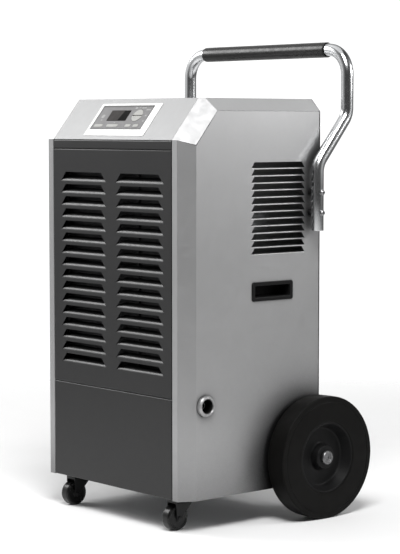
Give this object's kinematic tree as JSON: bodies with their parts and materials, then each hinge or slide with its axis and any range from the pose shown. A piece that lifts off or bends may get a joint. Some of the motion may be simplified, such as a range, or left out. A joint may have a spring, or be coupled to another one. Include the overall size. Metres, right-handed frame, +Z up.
{
  "type": "commercial dehumidifier",
  "caption": "Portable commercial dehumidifier: folded sheet cabinet with louvred front and sides, sloping control panel, drawer tank, large rear wheels, front swivel casters and a push handle.",
  "frame": {"origin": "centre of the footprint's bounding box, on the floor under the wheels", "axes": "+Z up, -Y out of the front panel, +X to the right as the front is faced, along the wheel axle"},
  "size_m": [0.612, 0.4866, 1.0278],
  "materials": {
    "silver_paint": "satin metallic powder coat",
    "white_paint": "satin pearl powder coat",
    "charcoal_paint": "fine-textured matt powder coat",
    "black_plastic": "moulded, fine grain",
    "tyre_rubber": "moulded solid rubber, slightly worn tread",
    "caster_rubber": "hard glossy tread",
    "foam_grip": "foam sleeve with a smooth skin",
    "bright_chrome": "polished",
    "bolt_steel": "blackened, worn on the edges",
    "zinc_sheet": "galvanised",
    "black_steel": "semi-gloss black",
    "copper": "drawn tube, slightly tarnished",
    "coil_fins": "mill finish",
    "white_plastic": "moulded, satin gloss",
    "grey_film": "printed polyester film",
    "key_film": "soft-touch satin",
    "display_glass": "smoked acrylic",
    "tank_plastic": "natural polypropylene",
    "board_green": "solder mask",
    "filter_net": "woven nylon net"
  },
  "bodies": {
    "cabinet": {"side_panel_left": "silver_paint", "side_panel_right": "silver_paint", "rear_panel": "silver_paint", "drain_collar": "silver_paint", "top_cover": "white_paint", "front_grille": "charcoal_paint", "trim_strip": "charcoal_paint", "grip_cup_left": "black_plastic", "grip_cup_right": "black_plastic", "cable_gland": "black_plastic", "drain_elbow": "black_plastic", "drip_tray": "black_plastic", "handle_spacer_left_1": "black_plastic", "handle_spacer_left_2": "black_plastic", "handle_spacer_right_1": "black_plastic", "handle_spacer_right_2": "black_plastic", "handle_grip": "foam_grip", "handle_tube": "bright_chrome", "axle_cap_left": "bright_chrome", "axle_cap_right": "bright_chrome", "wheel_axle": "bolt_steel", "handle_bolt_left_1": "bolt_steel", "handle_bolt_left_2": "bolt_steel", "handle_bolt_right_1": "bolt_steel", "handle_bolt_right_2": "bolt_steel", "base_pan": "zinc_sheet", "mid_deck": "zinc_sheet", "fan_housing": "zinc_sheet", "motor_bracket": "zinc_sheet", "compressor": "black_steel", "fan_motor": "black_steel", "caster_plate_left": "black_steel", "caster_plate_right": "black_steel", "discharge_pipe": "copper", "suction_pipe": "copper", "evaporator_coil": "coil_fins", "condenser_coil": "coil_fins", "control_bezel": "white_plastic", "control_face": "grey_film", "display_window": "display_glass", "control_board": "board_green", "air_filter": "filter_net"},
    "tank": {"tank_front": "charcoal_paint", "water_tank": "tank_plastic"},
    "float": {"tank_float": "white_plastic"},
    "fan": {"fan_impeller": "black_plastic"},
    "wheel_left": {"tyre_left": "tyre_rubber", "wheel_hub_left": "black_plastic"},
    "caster_left": {"caster_fork_left": "black_steel"},
    "caster_left_roller": {"caster_wheel_left": "caster_rubber"},
    "wheel_right": {"tyre_right": "tyre_rubber", "wheel_hub_right": "black_plastic"},
    "caster_right": {"caster_fork_right": "black_steel"},
    "caster_right_roller": {"caster_wheel_right": "caster_rubber"},
    "key_power": {"key_power": "key_film"},
    "key_mode": {"key_mode": "key_film"},
    "key_timer": {"key_timer": "key_film"},
    "key_fan": {"key_fan": "key_film"},
    "key_up": {"key_up": "key_film"},
    "key_down": {"key_down": "key_film"}
  },
  "joints": [
    {"name": "tank_slide", "type": "slide", "parent": "cabinet", "child": "tank", "axis": [0, -1, 0], "range_m": [0, 0.2]},
    {"name": "float_tilt", "type": "hinge", "parent": "tank", "child": "float", "pos_m": [0.12, -0.04583, 0.235], "axis": [-1, 0, 0], "range_deg": [0, 20]},
    {"name": "fan_spin", "type": "hinge", "parent": "cabinet", "child": "fan", "pos_m": [0, -0.05433, 0.64], "axis": [0, 1, 0], "continuous": true},
    {"name": "wheel_left_roll", "type": "hinge", "parent": "cabinet", "child": "wheel_left", "pos_m": [-0.277, 0.11067, 0.13266], "axis": [1, 0, 0], "continuous": true},
    {"name": "caster_left_swivel", "type": "hinge", "parent": "cabinet", "child": "caster_left", "pos_m": [-0.1765, -0.20033, 0.05], "axis": [0, 0, 1], "continuous": true},
    {"name": "caster_left_roll", "type": "hinge", "parent": "caster_left", "child": "caster_left_roller", "pos_m": [-0.1765, -0.21283, 0.02696], "axis": [1, 0, 0], "continuous": true},
    {"name": "wheel_right_roll", "type": "hinge", "parent": "cabinet", "child": "wheel_right", "pos_m": [0.277, 0.11067, 0.13266], "axis": [1, 0, 0], "continuous": true},
    {"name": "caster_right_swivel", "type": "hinge", "parent": "cabinet", "child": "caster_right", "pos_m": [0.1765, -0.20033, 0.05], "axis": [0, 0, 1], "continuous": true},
    {"name": "caster_right_roll", "type": "hinge", "parent": "caster_right", "child": "caster_right_roller", "pos_m": [0.1765, -0.21283, 0.02696], "axis": [1, 0, 0], "continuous": true},
    {"name": "key_power_press", "type": "slide", "parent": "cabinet", "child": "key_power", "axis": [0, 0.7726, -0.6349], "range_m": [0, 0.0008], "stiffness_N_per_m": 400},
    {"name": "key_mode_press", "type": "slide", "parent": "cabinet", "child": "key_mode", "axis": [0, 0.7726, -0.6349], "range_m": [0, 0.0008], "stiffness_N_per_m": 400},
    {"name": "key_timer_press", "type": "slide", "parent": "cabinet", "child": "key_timer", "axis": [0, 0.7726, -0.6349], "range_m": [0, 0.0008], "stiffness_N_per_m": 400},
    {"name": "key_fan_press", "type": "slide", "parent": "cabinet", "child": "key_fan", "axis": [0, 0.7726, -0.6349], "range_m": [0, 0.0008], "stiffness_N_per_m": 400},
    {"name": "key_up_press", "type": "slide", "parent": "cabinet", "child": "key_up", "axis": [0, 0.7726, -0.6349], "range_m": [0, 0.0008], "stiffness_N_per_m": 400},
    {"name": "key_down_press", "type": "slide", "parent": "cabinet", "child": "key_down", "axis": [0, 0.7726, -0.6349], "range_m": [0, 0.0008], "stiffness_N_per_m": 400}
  ]
}
